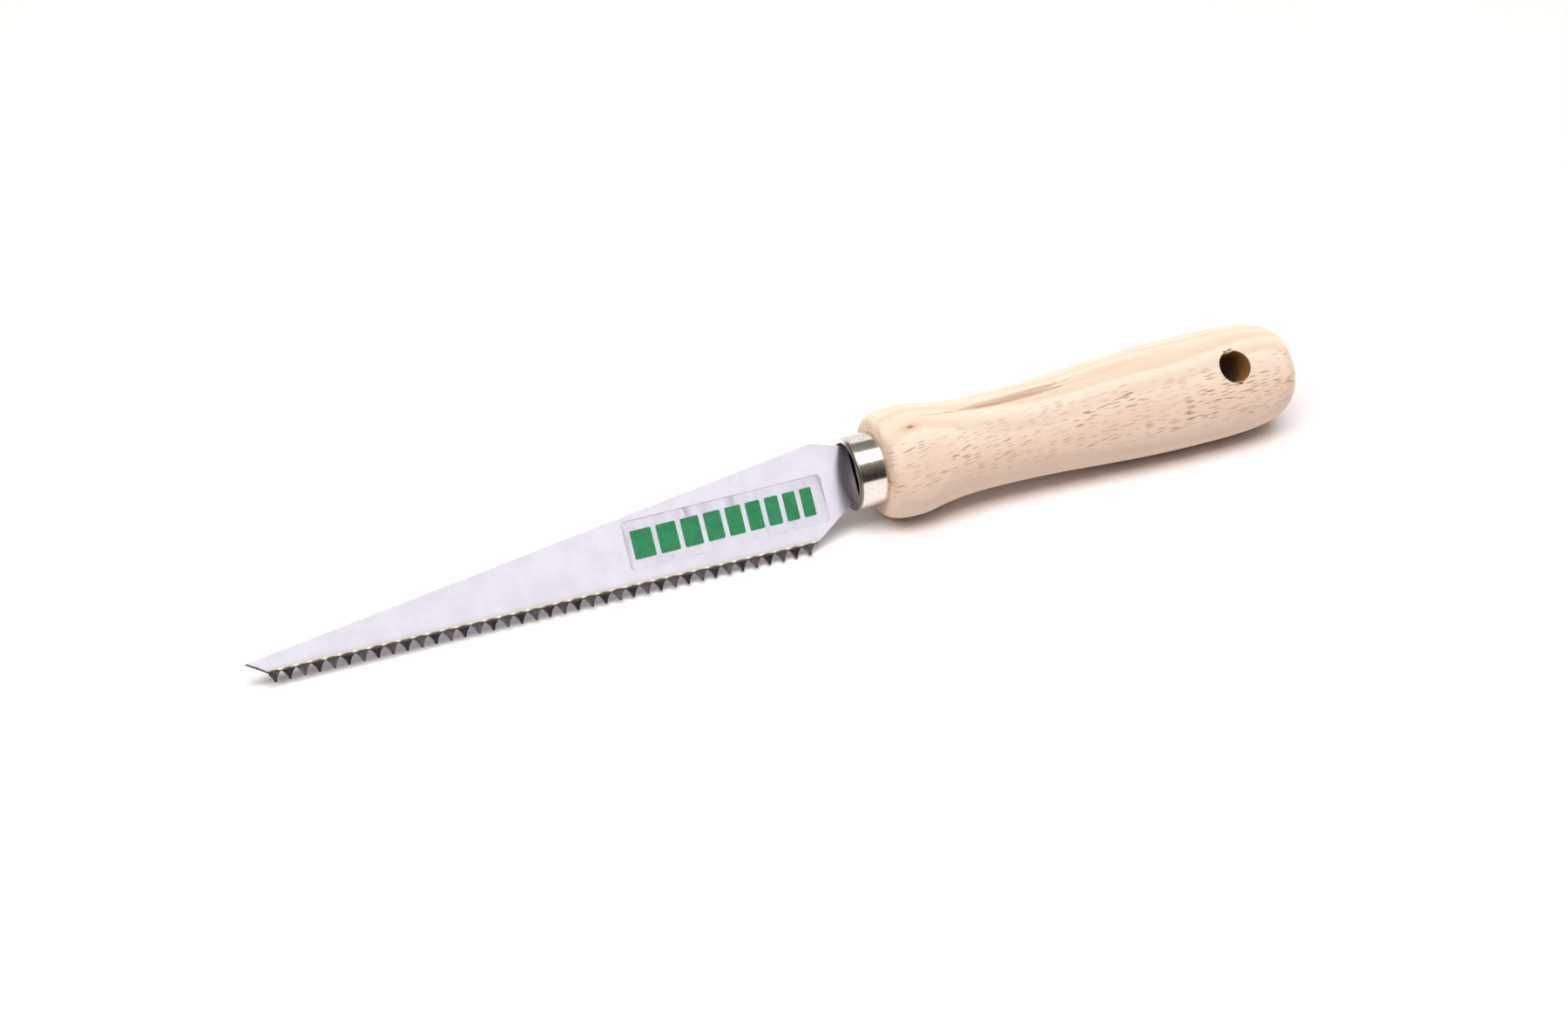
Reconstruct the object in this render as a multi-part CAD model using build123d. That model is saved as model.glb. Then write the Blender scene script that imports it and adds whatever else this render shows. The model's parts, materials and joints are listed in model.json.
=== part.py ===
"""Drywall jab saw: turned beech handle, plated ferrule, pinned steel blade and a film label.

The saw is built on a bench axis and then laid down the way it rests on a table.
Bench frame, millimetres: X runs along the handle from the blade's point to the butt, with X = 0 at the
ferrule's front lip. Y lies in the blade's plane towards the spine, and Z is the normal of the labelled face.
Row frame: +X still runs from the point to the butt, +Z is up, and the saw rests on Z = 0.
"""
from build123d import *
import math
import os

# ---------------------------------------------------------------- driving dimensions
# Blade: a stamped plate, tapered towards its point.
blade_thickness = 1.1
teeth_per_inch = 7.0
tooth_count = 39
tooth_height = 2.4
tooth_tip_width = 0.45
tooth_base_width = 3.3
tooth_set = 0.30
# Where a flank's concave arc bends most: out from the tip as a share of the flank's width, and down
# from the root as a share of the tooth's height.
flank_elbow_out = 0.27
flank_elbow_down = 0.36
heel_tooth_x = -14.5
heel_tooth_depth = 17.55
tooth_line_slope = 0.016
point_x = -158.7
point_y = -9.5
spine_shoulder_x = -7.6
spine_shoulder_y = 9.8
spine_corner_radius = 2.6
tip_cut_end_x = -153.6
heel_corner_x = -12.2
neck_start_x = -0.9
neck_half_width = 7.7

# Tang: the hidden tail of the blade, driven into the handle.
tang_shoulder_x = 7.0
tang_taper_end_x = 15.0
tang_half_width = 4.5
tang_end_x = 47.0
tang_end_chamfer = 2.5

# Ferrule: a short plated tube whose front edge is curled inwards.
ferrule_outer_radius = 9.6
ferrule_wall = 0.85
ferrule_length = 8.0
lip_bead_radius = 0.70

# Handle: one turned piece, with a spigot inside the ferrule.
spigot_front_x = 2.6
spigot_clearance = 0.05
spigot_chamfer = 0.5
shoulder_flat_radius = 11.3
front_crest_x = 16.5
front_crest_radius = 14.45
waist_x = 38.7
waist_radius = 12.25
rear_crest_x = 97.8
rear_crest_radius = 14.65
butt_x = 127.6

# Reach of each curve's tangent along the axis, and the radii that the two end curves aim for.
shoulder_roll_length = 3.2
shoulder_roll_drop = 0.8
front_crest_reach = 5.0
waist_front_reach = 14.8
waist_rear_reach = 23.5
rear_crest_front_reach = 24.4
rear_crest_rear_reach = 24.5
butt_dome_radius = 13.2

# Slot for the tang.
kerf_clearance = 0.05
kerf_end_gap = 0.5
kerf_front_overrun = 1.0

# Hanging hole, bored through the handle's axis and tilted from the blade's normal towards the spine.
hang_hole_x = 106.5
hang_hole_radius = 4.45
hang_hole_tilt = 12.7

# Cross pin through spigot and tang, covered by the ferrule.
pin_x = 5.3
pin_radius = 1.2
pin_length = 16.4
pin_end_round = 0.25
pin_clearance = 0.03

# Label: a thin printed film on the blade's face.
label_front_x = -60.8
label_rear_x = -7.2
label_top_y = 1.9
label_bottom_y = -10.5
label_thickness = 0.10
label_corner_radius = 0.9

# ---------------------------------------------------------------- worked-out dimensions
tooth_pitch = 25.4 / teeth_per_inch
tooth_line_angle = math.degrees(math.atan(tooth_line_slope))
ferrule_inner_radius = ferrule_outer_radius - ferrule_wall
spigot_radius = ferrule_inner_radius - spigot_clearance
shoulder_x = ferrule_length


def tooth_line_y(x):
    """Height of the line through the tooth tips at x."""
    return -heel_tooth_depth + tooth_line_slope * (heel_tooth_x - x)


def root_line_y(x):
    """Height of the line through the tooth roots at x."""
    return tooth_line_y(x) + tooth_height


# ---------------------------------------------------------------- blade
def blade_plate():
    """The flat plate without its teeth, from the point to the end of the tang."""
    tip_cut_end = (tip_cut_end_x, root_line_y(tip_cut_end_x))
    heel_corner = (heel_corner_x, root_line_y(heel_corner_x))
    outline = Polyline(
        (point_x, point_y),
        (spine_shoulder_x, spine_shoulder_y),
        (neck_start_x, neck_half_width),
        (tang_shoulder_x, neck_half_width),
        (tang_taper_end_x, tang_half_width),
        (tang_end_x - tang_end_chamfer, tang_half_width),
        (tang_end_x, tang_half_width - tang_end_chamfer),
        (tang_end_x, tang_end_chamfer - tang_half_width),
        (tang_end_x - tang_end_chamfer, -tang_half_width),
        (tang_taper_end_x, -tang_half_width),
        (tang_shoulder_x, -neck_half_width),
        (neck_start_x, -neck_half_width),
        heel_corner,
        tip_cut_end,
        close=True,
    )
    face = make_face(outline)
    shoulder = face.vertices().sort_by_distance((spine_shoulder_x, spine_shoulder_y, 0))[0]
    face = fillet(shoulder, spine_corner_radius)
    return extrude(face, amount=blade_thickness / 2, both=True)


def set_tooth(side):
    """One tooth hanging from the origin along -Y, with its tip leaning to the given side of the plate.

    The flanks are concave arcs that run out into the rounded gullets.
    """
    half_base = tooth_base_width / 2
    half_tip = tooth_tip_width / 2
    elbow = (half_tip + flank_elbow_out * (half_base - half_tip), -flank_elbow_down * tooth_height)
    right = ThreePointArc((half_base, 0), elbow, (half_tip, -tooth_height))
    tip = Line((half_tip, -tooth_height), (-half_tip, -tooth_height))
    left = ThreePointArc((-half_tip, -tooth_height), (-elbow[0], elbow[1]), (-half_base, 0))
    root = Line((-half_base, 0), (half_base, 0))
    profile = make_face(Wire([right, tip, left, root]))
    blank = extrude(profile, amount=blade_thickness / 2 + tooth_set, both=True)
    lean = side * tooth_set
    half = blade_thickness / 2
    band = Plane.YZ * Polyline(
        (0, -half),
        (-tooth_height, lean - half),
        (-tooth_height, lean + half),
        (0, half),
        close=True,
    )
    return blank & extrude(make_face(band), amount=tooth_base_width, both=True)


def tip_trim():
    """Block ahead of the point where the tip cut ends, for trimming the foremost tooth's root square."""
    size = 3 * tooth_height
    return Pos(tip_cut_end_x - size / 2, root_line_y(tip_cut_end_x), 0) * Box(size, size, size)


def make_blade():
    """The stamped blade: plate, two rows of alternately set teeth, and the pin hole in the tang."""
    towards_face = set_tooth(1)
    away_from_face = set_tooth(-1)
    teeth = []
    for index in range(tooth_count):
        x = heel_tooth_x - index * tooth_pitch * math.cos(math.radians(tooth_line_angle))
        tooth = towards_face if index % 2 == 0 else away_from_face
        teeth.append(Pos(x, root_line_y(x), 0) * Rot(0, 0, -tooth_line_angle) * tooth)
    teeth[-1] -= tip_trim()
    blade = blade_plate().fuse(*teeth)
    blade -= Pos(pin_x, 0, 0) * Cylinder(pin_radius + pin_clearance, 4 * blade_thickness)
    return blade


# ---------------------------------------------------------------- ferrule
def make_ferrule():
    """Tube with its front edge curled inwards into a round bead."""
    bead_centre = (lip_bead_radius, ferrule_outer_radius - lip_bead_radius)
    wall = make_face(
        Polyline(
            (lip_bead_radius, ferrule_inner_radius),
            (lip_bead_radius, ferrule_outer_radius),
            (ferrule_length, ferrule_outer_radius),
            (ferrule_length, ferrule_inner_radius),
            close=True,
        )
    )
    bead = Pos(*bead_centre) * Circle(lip_bead_radius)
    return revolve(wall + bead, Axis.X)


# ---------------------------------------------------------------- handle
def handle_profile():
    """Half section of the turned handle above its axis, spigot included."""
    return make_face(
        Wire(
            [
                Line((spigot_front_x, 0), (spigot_front_x, spigot_radius - spigot_chamfer)),
                Line(
                    (spigot_front_x, spigot_radius - spigot_chamfer),
                    (spigot_front_x + spigot_chamfer, spigot_radius),
                ),
                Line((spigot_front_x + spigot_chamfer, spigot_radius), (shoulder_x, spigot_radius)),
                Line((shoulder_x, spigot_radius), (shoulder_x, shoulder_flat_radius)),
                # The shoulder rolls over into the front crest.
                Bezier(
                    (shoulder_x, shoulder_flat_radius),
                    (shoulder_x, front_crest_radius - shoulder_roll_drop),
                    (shoulder_x + shoulder_roll_length, front_crest_radius),
                    (front_crest_x, front_crest_radius),
                ),
                # The grip falls quickly into the waist and swells slowly towards the rear.
                Bezier(
                    (front_crest_x, front_crest_radius),
                    (front_crest_x + front_crest_reach, front_crest_radius),
                    (waist_x - waist_front_reach, waist_radius),
                    (waist_x, waist_radius),
                ),
                Bezier(
                    (waist_x, waist_radius),
                    (waist_x + waist_rear_reach, waist_radius),
                    (rear_crest_x - rear_crest_front_reach, rear_crest_radius),
                    (rear_crest_x, rear_crest_radius),
                ),
                # Domed butt.
                Bezier(
                    (rear_crest_x, rear_crest_radius),
                    (rear_crest_x + rear_crest_rear_reach, rear_crest_radius),
                    (butt_x, butt_dome_radius),
                    (butt_x, 0),
                ),
                Line((butt_x, 0), (spigot_front_x, 0)),
            ]
        )
    )


def kerf_cutter():
    """Slot for the tang: open at the spigot's end face, closed inside the handle."""
    wide = neck_half_width + kerf_clearance
    narrow = tang_half_width + kerf_clearance
    front = spigot_front_x - kerf_front_overrun
    rear = tang_end_x + kerf_end_gap
    outline = Polyline(
        (front, wide),
        (tang_shoulder_x + kerf_clearance, wide),
        (tang_taper_end_x + kerf_clearance, narrow),
        (rear, narrow),
        (rear, -narrow),
        (tang_taper_end_x + kerf_clearance, -narrow),
        (tang_shoulder_x + kerf_clearance, -wide),
        (front, -wide),
        close=True,
    )
    return extrude(make_face(outline), amount=blade_thickness / 2 + kerf_clearance, both=True)


def hole_cutter():
    """Bore for the hanging hole, along its tilted axis and well past both sides of the grip."""
    bore = Cylinder(hang_hole_radius, 4 * rear_crest_radius)
    return Pos(hang_hole_x, 0, 0) * Rot(-hang_hole_tilt, 0, 0) * bore


def make_handle():
    """Turned beech handle with the tang slot, the pin hole and the hanging hole."""
    handle = revolve(handle_profile(), Axis.X)
    handle -= kerf_cutter()
    handle -= Pos(pin_x, 0, 0) * Cylinder(pin_radius + pin_clearance, 4 * spigot_radius)
    handle -= hole_cutter()
    return handle


# ---------------------------------------------------------------- tang pin and label
def make_tang_pin():
    """Steel pin across the spigot, its ends eased so that the ferrule slides over them."""
    pin = Cylinder(pin_radius, pin_length)
    pin = fillet(pin.edges().filter_by(GeomType.CIRCLE), pin_end_round)
    return Pos(pin_x, 0, 0) * pin


def make_label():
    """Film label lying on the blade's face."""
    width = label_rear_x - label_front_x
    height = label_top_y - label_bottom_y
    centre = ((label_rear_x + label_front_x) / 2, (label_top_y + label_bottom_y) / 2)
    film = extrude(RectangleRounded(width, height, label_corner_radius), amount=label_thickness)
    return Pos(centre[0], centre[1], blade_thickness / 2) * film


# ---------------------------------------------------------------- laying the saw down
def rest_pitch():
    """Slope of the axis, in degrees, when both crests of the handle touch the table."""
    rise = rear_crest_radius - front_crest_radius
    return math.degrees(math.atan(rise / (rear_crest_x - front_crest_x)))


def rest_roll():
    """Roll about the axis, in degrees, at which the heel teeth come down on the table."""
    fall = math.tan(math.radians(rest_pitch())) * (front_crest_x - heel_tooth_x)
    axis_height = front_crest_radius - fall
    tip_reach = math.hypot(heel_tooth_depth, blade_thickness / 2 + tooth_set)
    tip_lead = math.atan2(blade_thickness / 2 + tooth_set, heel_tooth_depth)
    return math.degrees(math.asin(axis_height / tip_reach) - tip_lead)


def lay_down(shapes):
    """Roll and pitch the bench shapes into the rest pose and centre their box over the origin.

    The blade's teeth point down towards -Y, and the labelled face looks up towards -Y.
    """
    pose = Rot(0, -rest_pitch(), 0) * Rot(rest_roll(), 0, 0)
    tilted = {name: pose * shape for name, shape in shapes.items()}
    box = Compound(children=[copy_of(shape) for shape in tilted.values()]).bounding_box()
    shift = Pos(-(box.min.X + box.max.X) / 2, -(box.min.Y + box.max.Y) / 2, -box.min.Z)
    return {name: shift * shape for name, shape in tilted.items()}


def copy_of(shape):
    """A plain copy, so that grouping it for measuring doesn't change the part itself."""
    return Pos(0, 0, 0) * shape


parts = lay_down(
    {
        "blade": make_blade(),
        "handle": make_handle(),
        "ferrule": make_ferrule(),
        "tang_pin": make_tang_pin(),
        "label": make_label(),
    }
)

os.makedirs("parts", exist_ok=True)
for node_name, node_shape in parts.items():
    export_step(node_shape, f"parts/{node_name}.step")
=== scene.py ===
"""Drywall jab saw: turned beech handle, plated ferrule, pinned steel blade and a printed film label.

Every piece is modelled on the saw's own bench axes, in millimetres, and then laid down with the CAD frame:
X runs from the blade's point to the butt with X = 0 at the ferrule's front lip, Y points to the spine in the
blade's plane, and Z is the normal of the labelled face.
"""
import json
import logging
import math
from collections.abc import Callable, Sequence
from dataclasses import dataclass, field
from enum import Enum

import bmesh
import bpy
from mathutils import Matrix, Vector


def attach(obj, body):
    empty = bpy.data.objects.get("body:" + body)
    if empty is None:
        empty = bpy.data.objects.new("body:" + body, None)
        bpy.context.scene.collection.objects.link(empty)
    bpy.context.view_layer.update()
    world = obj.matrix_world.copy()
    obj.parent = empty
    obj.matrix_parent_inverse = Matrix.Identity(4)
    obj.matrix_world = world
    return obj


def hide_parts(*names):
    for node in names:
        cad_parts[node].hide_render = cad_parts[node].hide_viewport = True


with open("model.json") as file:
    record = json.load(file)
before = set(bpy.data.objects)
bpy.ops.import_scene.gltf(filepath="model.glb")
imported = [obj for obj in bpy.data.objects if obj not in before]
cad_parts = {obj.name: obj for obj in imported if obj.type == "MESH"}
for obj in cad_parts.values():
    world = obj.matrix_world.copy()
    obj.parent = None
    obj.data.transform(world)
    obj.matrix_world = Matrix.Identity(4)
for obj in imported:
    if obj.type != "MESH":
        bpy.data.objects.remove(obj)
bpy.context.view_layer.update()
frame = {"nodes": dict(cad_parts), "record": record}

MM = 0.001
INCH = 25.4
BODY = "root"
log = logging.getLogger("jab_saw")

Point = tuple[float, float]
Colour = tuple[float, float, float]
Piece = bpy.types.Object
Material = bpy.types.Material
Node = bpy.types.Node
Socket = bpy.types.NodeSocket


class Slot(Enum):
    """The record's material slots."""

    BEECH = "beech"
    NICKEL = "nickel_plate"
    BLADE = "blade_steel"
    FILM = "label_film"


def bezier(start: Point, out: Point, into: Point, end: Point, steps: int) -> list[Point]:
    """Points along a cubic curve, its start left out.

    Args:
        start: First point of the curve.
        out: Handle of the first point.
        into: Handle of the last point.
        end: Last point of the curve.
        steps: Number of points.

    Returns:
        The points, the last one at the curve's end.
    """
    points = []
    for step in range(1, steps + 1):
        t = step / steps
        weights = ((1 - t) ** 3, 3 * (1 - t) ** 2 * t, 3 * (1 - t) * t * t, t**3)
        corners = (start, out, into, end)
        points.append(tuple(sum(w * p[axis] for w, p in zip(weights, corners)) for axis in (0, 1)))
    return points


# ---------------------------------------------------------------------------------------- rest pose
@dataclass(frozen=True)
class RestPose:
    """Where the bench axes end up when the saw is laid down."""

    origin: Vector
    turn: Matrix

    @classmethod
    def from_mount(cls, record: dict, hole_x: float, hole_tilt: float, pitch: float) -> "RestPose":
        """Works the pose out from the hanging hole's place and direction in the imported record.

        Args:
            record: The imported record.
            hole_x: Place of the hole along the axis, in millimetres.
            hole_tilt: Tilt of the hole from the blade's normal, in degrees.
            pitch: Slope of the saw's axis on the table, in radians.

        Returns:
            The rest pose, in metres.
        """
        mount = next(m for m in record["mounts"] if m["name"] == "hanging_hole")
        axis = mount["axis"]
        roll = math.atan2(-axis[1], math.hypot(axis[0], axis[2])) + math.radians(hole_tilt)
        turn = Matrix.Rotation(-pitch, 3, "Y") @ Matrix.Rotation(roll, 3, "X")
        return cls(Vector(mount["pos_m"]) - turn @ Vector((hole_x * MM, 0, 0)), turn)

    def lay_down(self, piece: Piece) -> None:
        """Turns and moves a piece from the bench to the table, with its place kept in its mesh."""
        Bench.place(piece, Matrix.Translation(self.origin) @ self.turn.to_4x4())


# ---------------------------------------------------------------------------------------- tools
class Bench:
    """Plain modelling steps with Blender's own tools. Sizes are in millimetres on the bench axes."""

    @staticmethod
    def mode(name: str) -> None:
        """Goes to edit or object mode."""
        bpy.ops.object.mode_set(mode=name)

    @classmethod
    def pick(cls, *pieces: Piece) -> None:
        """Leaves edit mode and selects only these objects, or nothing. The first one is made active."""
        if bpy.context.object and bpy.context.object.mode != "OBJECT":
            cls.mode("OBJECT")
        bpy.ops.object.select_all(action="DESELECT")
        for piece in pieces:
            piece.select_set(True)
        if pieces:
            bpy.context.view_layer.objects.active = pieces[0]

    @classmethod
    def place(cls, piece: Piece, matrix: Matrix) -> None:
        """Moves a piece and puts its new place into its mesh."""
        cls.pick(piece)
        piece.matrix_world = matrix
        bpy.ops.object.transform_apply()

    @staticmethod
    def named(name: str) -> Piece:
        """Names the primitive just added and puts its place into its mesh."""
        piece = bpy.context.object
        piece.name = piece.data.name = name
        bpy.ops.object.transform_apply()
        return piece

    @classmethod
    def block(cls, name: str, low: Sequence[float], high: Sequence[float]) -> Piece:
        """A box between two corners."""
        cls.pick()
        bpy.ops.mesh.primitive_cube_add(size=1, location=[(a + b) / 2 * MM for a, b in zip(low, high)])
        bpy.context.object.scale = [(b - a) * MM for a, b in zip(low, high)]
        return cls.named(name)

    @classmethod
    def rod(cls, name: str, x: float, radius: float, length: float, sides: int, tilt: float = 0.0) -> Piece:
        """A cylinder through the axis, along Z.

        Args:
            name: Name of the piece.
            x: Its place along the axis.
            radius: Its radius.
            length: Its whole length.
            sides: Number of facets round it.
            tilt: Turn about X in degrees.

        Returns:
            The cylinder.
        """
        cls.pick()
        bpy.ops.mesh.primitive_cylinder_add(
            vertices=sides,
            radius=radius * MM,
            depth=length * MM,
            location=(x * MM, 0, 0),
            rotation=(math.radians(tilt), 0, 0),
        )
        return cls.named(name)

    @staticmethod
    def draw_out(shift: Sequence[float], grow: Sequence[float]) -> None:
        """Extrudes the selection by a shift, and resizes what is drawn out about the axis."""
        move = {"value": [s * MM for s in shift], "orient_type": "GLOBAL"}
        bpy.ops.mesh.extrude_region_move(TRANSFORM_OT_translate=move)
        bpy.ops.transform.resize(value=grow, orient_type="GLOBAL", center_override=(0, 0, 0))

    @classmethod
    def turned(cls, name: str, profile: Sequence[Point], sides: int) -> Piece:
        """A turned piece: a ring is drawn out along the axis and resized, station by station.

        Args:
            name: Name of the piece.
            profile: Stations as (place along the axis, radius), none of them on the axis.
            sides: Number of facets round the piece.

        Returns:
            The open shell, in edit mode, with its last ring selected.
        """
        cls.pick()
        x, radius = profile[0]
        bpy.ops.mesh.primitive_circle_add(
            vertices=sides, radius=radius * MM, location=(x * MM, 0, 0), rotation=(0, math.pi / 2, 0)
        )
        piece = cls.named(name)
        cls.mode("EDIT")
        bpy.ops.mesh.select_all(action="SELECT")
        for next_x, next_radius in profile[1:]:
            grow = next_radius / radius
            cls.draw_out((next_x - x, 0, 0), (1, grow, grow))
            x, radius = next_x, next_radius
        return piece

    @staticmethod
    def select(piece: Piece, kind: str, test: Callable) -> int:
        """Selects the piece's faces, edges or vertices that pass a test. The piece is in edit mode.

        Args:
            piece: The piece.
            kind: "FACE", "EDGE" or "VERT".
            test: Takes a bmesh element and says whether it is selected.

        Returns:
            How many were selected.
        """
        bpy.ops.mesh.select_mode(type=kind)
        bpy.ops.mesh.select_all(action="DESELECT")
        mesh = bmesh.from_edit_mesh(piece.data)
        elements = {"FACE": mesh.faces, "EDGE": mesh.edges, "VERT": mesh.verts}[kind]
        chosen = [element for element in elements if test(element)]
        for element in chosen:
            element.select_set(True)
        mesh.select_flush_mode()
        bmesh.update_edit_mesh(piece.data)
        return len(chosen)

    @classmethod
    def round_uprights(cls, piece: Piece, radius: float, segments: int) -> None:
        """Rounds a plate's corners as seen along its thickness."""
        cls.select(piece, "EDGE", lambda e: abs(e.verts[0].co.z - e.verts[1].co.z) > 0.01 * MM)
        bpy.ops.mesh.bevel(offset=radius * MM, segments=segments, affect="EDGES")

    @staticmethod
    def slice(place: Sequence[float], normal: Sequence[float], trim: bool = False, fill: bool = False) -> None:
        """Cuts all of the piece in edit mode along a plane.

        Args:
            place: A point of the plane.
            normal: The plane's normal.
            trim: Whether the side that the normal points to is taken off.
            fill: Whether the cut is closed.
        """
        bpy.ops.mesh.select_mode(type="VERT")
        bpy.ops.mesh.select_all(action="SELECT")
        bpy.ops.mesh.bisect(
            plane_co=[p * MM for p in place],
            plane_no=Vector(normal).normalized(),
            use_fill=fill,
            clear_outer=trim,
            threshold=1e-7,
        )

    @classmethod
    def modify(cls, piece: Piece, kind: str, **settings: object) -> None:
        """Puts a modifier on a piece and applies it."""
        cls.pick(piece)
        modifier = piece.modifiers.new(kind.lower(), kind)
        for name, value in settings.items():
            setattr(modifier, name, value)
        bpy.ops.object.modifier_apply(modifier=modifier.name)

    @classmethod
    def cut(cls, piece: Piece, cutter: Piece, way: str = "DIFFERENCE") -> None:
        """Takes a cutter's shape out of a piece, or adds it, and removes the cutter."""
        cls.modify(piece, "BOOLEAN", operation=way, solver="EXACT", object=cutter)
        bpy.data.objects.remove(cutter, do_unlink=True)

    @classmethod
    def ease_edges(cls, piece: Piece, width: float, angle: float) -> None:
        """Takes the sharpness off every edge sharper than an angle, in degrees."""
        cls.modify(
            piece, "BEVEL", width=width * MM, segments=1, limit_method="ANGLE", angle_limit=math.radians(angle)
        )

    @classmethod
    def join(cls, pieces: Sequence[Piece]) -> Piece:
        """Joins pieces into the first one."""
        cls.pick(*pieces)
        bpy.ops.object.join()
        return pieces[0]

    @classmethod
    def copy(cls, piece: Piece) -> Piece:
        """A copy with a mesh of its own."""
        cls.pick(piece)
        bpy.ops.object.duplicate(linked=False)
        return bpy.context.object

    @classmethod
    def clean(cls, piece: Piece, merge: float = 0.002) -> None:
        """Merges doubles and turns all faces outwards."""
        cls.pick(piece)
        cls.mode("EDIT")
        bpy.ops.mesh.select_mode(type="VERT")
        bpy.ops.mesh.select_all(action="SELECT")
        bpy.ops.mesh.remove_doubles(threshold=merge * MM)
        bpy.ops.mesh.normals_make_consistent(inside=False)
        cls.mode("OBJECT")

    @classmethod
    def smooth(cls, piece: Piece, angle: float = 30.0) -> None:
        """Shades smooth up to an angle, in degrees."""
        cls.pick(piece)
        bpy.ops.object.shade_smooth_by_angle(angle=math.radians(angle), keep_sharp_edges=True)


# ---------------------------------------------------------------------------------------- finishes
class Number:
    """A number that changes over a surface. A sum with it adds a node to its recipe."""

    def __init__(self, recipe: "Recipe", socket: Socket) -> None:
        """Stands for a socket of the recipe."""
        self.recipe = recipe
        self.socket = socket

    def __add__(self, other: "Number | float") -> "Number":
        """Sum."""
        return self.recipe.math("ADD", self, other)

    def __sub__(self, other: "Number | float") -> "Number":
        """Difference."""
        return self.recipe.math("SUBTRACT", self, other)

    def __rsub__(self, other: float) -> "Number":
        """Difference from a plain number."""
        return self.recipe.math("SUBTRACT", other, self)

    def __mul__(self, other: "Number | float") -> "Number":
        """Product."""
        return self.recipe.math("MULTIPLY", self, other)

    def __truediv__(self, other: "Number | float") -> "Number":
        """Quotient."""
        return self.recipe.math("DIVIDE", self, other)

    def __rtruediv__(self, other: float) -> "Number":
        """A plain number divided by this one."""
        return self.recipe.math("DIVIDE", other, self)

    def __abs__(self) -> "Number":
        """The number without its sign."""
        return self.recipe.math("ABSOLUTE", self)


class Recipe:
    """Adds nodes to a tree, with constants, numbers or other nodes' sockets as their inputs."""

    def __init__(self, tree: bpy.types.NodeTree) -> None:
        """Starts on a tree."""
        self.tree = tree

    def plug(self, socket: Socket, value: object) -> None:
        """Gives an input its constant, or its link."""
        value = getattr(value, "socket", value)
        if isinstance(value, Socket):
            self.tree.links.new(value, socket)
        elif socket.type == "RGBA":
            socket.default_value = (*value[:3], 1.0)
        else:
            socket.default_value = value

    def add(self, kind: str, inputs: dict | None = None, **settings: object) -> Node:
        """Adds a node.

        Args:
            kind: Blender's type name, without "ShaderNode" in front.
            inputs: Values by input name or index.
            settings: The node's own settings.

        Returns:
            The node.
        """
        node = self.tree.nodes.new(kind if kind.startswith("Node") else "ShaderNode" + kind)
        for name, value in settings.items():
            setattr(node, name, value)
        for name, value in (inputs or {}).items():
            self.plug(node.inputs[name], value)
        return node

    def math(self, operation: str, a: object, b: object = 0.0, clamp: bool = False) -> Number:
        """An operation on one or two numbers."""
        node = self.add("Math", {0: a, 1: b}, operation=operation, use_clamp=clamp)
        return Number(self, node.outputs[0])

    def hypot(self, a: Number, b: Number) -> Number:
        """Distance whose two parts are a and b."""
        return self.math("SQRT", a * a + b * b)

    def step(self, value: object, start: float, end: float, low: float = 0.0, high: float = 1.0) -> Number:
        """Goes smoothly from low to high while the value goes from start to end."""
        inputs = {"Value": value, "From Min": start, "From Max": end, "To Min": low, "To Max": high}
        return Number(self, self.add("MapRange", inputs, interpolation_type="SMOOTHSTEP").outputs["Result"])

    def mix(self, share: object, a: object, b: object) -> Socket:
        """Mixes two colours."""
        return self.add("Mix", {0: share, 6: a, 7: b}, data_type="RGBA").outputs[2]

    def layers(self, colour: object, *layers: tuple[Number, object]) -> Socket:
        """Lays colours over a first one, each where its share says."""
        for share, tone in layers:
            colour = self.mix(share, colour, tone)
        return colour

    def vector(self, x: object, y: object = 0.0, z: object = 0.0) -> Socket:
        """A vector of three numbers."""
        return self.add("CombineXYZ", {0: x, 1: y, 2: z}).outputs[0]

    def axes(self, vector: Socket) -> tuple[Number, ...]:
        """Splits a vector into its three numbers."""
        return tuple(Number(self, part) for part in self.add("SeparateXYZ", {0: vector}).outputs)

    def noise(
        self, vector: Socket, grain: Sequence[float], detail: float = 2.0, roughness: float = 0.5
    ) -> Number:
        """Noise whose grains have these sizes along X, Y and Z, in the vector's unit."""
        scaled = self.add("VectorMath", {0: vector, 1: [1 / g for g in grain]}, operation="MULTIPLY")
        inputs = {"Vector": scaled.outputs[0], "Scale": 1.0, "Detail": detail, "Roughness": roughness}
        return Number(self, self.add("TexNoise", inputs).outputs[0])


def new_effect(
    name: str, inputs: Sequence[tuple[str, str, object]], output: tuple[str, str]
) -> tuple[Recipe, Node, Socket]:
    """Starts a shared effect.

    Args:
        name: Name of the node group.
        inputs: Name, kind (Float, Vector or Color) and usual value of each input.
        output: Name and kind of the output.

    Returns:
        The recipe on the group's tree, its input node and its output's socket.
    """
    tree = bpy.data.node_groups.new(name, "ShaderNodeTree")
    for label, kind, usual in inputs:
        socket = tree.interface.new_socket(label, in_out="INPUT", socket_type="NodeSocket" + kind)
        if usual is not None:
            socket.default_value = usual
    tree.interface.new_socket(output[0], in_out="OUTPUT", socket_type="NodeSocket" + output[1])
    recipe = Recipe(tree)
    return recipe, recipe.add("NodeGroupInput"), recipe.add("NodeGroupOutput").inputs[0]


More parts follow.
